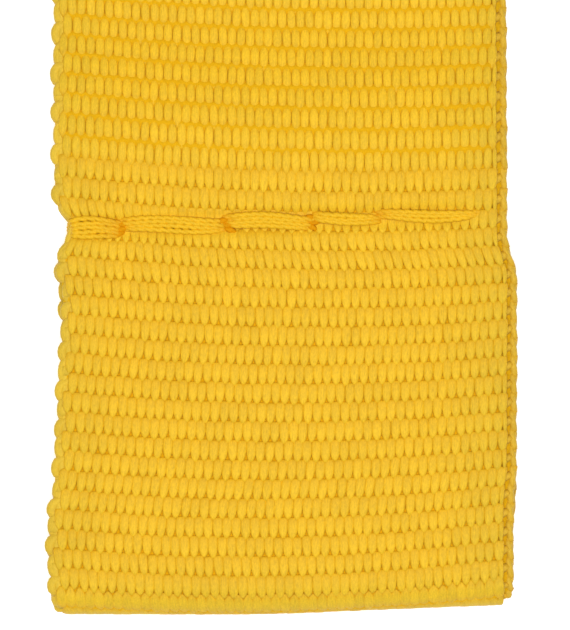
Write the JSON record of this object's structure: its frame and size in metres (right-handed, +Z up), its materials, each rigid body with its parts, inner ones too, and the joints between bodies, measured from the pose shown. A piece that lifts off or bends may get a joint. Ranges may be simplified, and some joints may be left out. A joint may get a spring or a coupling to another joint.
{
  "type": "martial arts belt",
  "caption": "Ribbed webbing belt tied round a training jacket: hemmed, tacked tip laid flat, the rest of its length wound into a roll behind it.",
  "frame": {"origin": "under the middle of the belt's box, on the surface that it lies on", "axes": "+X across the belt to its right edge, +Y from the tip along the flat tail to the roll, +Z up out of the belt's front face"},
  "size_m": [0.04, 0.1844, 0.0889],
  "materials": {
    "webbing": "golden yellow ribbed woven webbing, satin filament yarn",
    "lock_cord": "golden yellow knitted edge cord, matt",
    "sewing_thread": "golden yellow twisted sewing thread, satin"
  },
  "bodies": {
    "roll": {"webbing_roll": "webbing", "webbing_middle": "webbing", "lock_cord_roll": "lock_cord", "far_seam_thread": "sewing_thread"},
    "tail": {"webbing_tail": "webbing", "lock_cord_tail": "lock_cord", "tip_seam_thread": "sewing_thread"}
  },
  "joints": [
    {"name": "tail_bend", "type": "hinge", "parent": "roll", "child": "tail", "pos_m": [0, -0.00722, 0.002], "axis": [-1, 0, 0], "range_deg": [0, 90]}
  ]
}
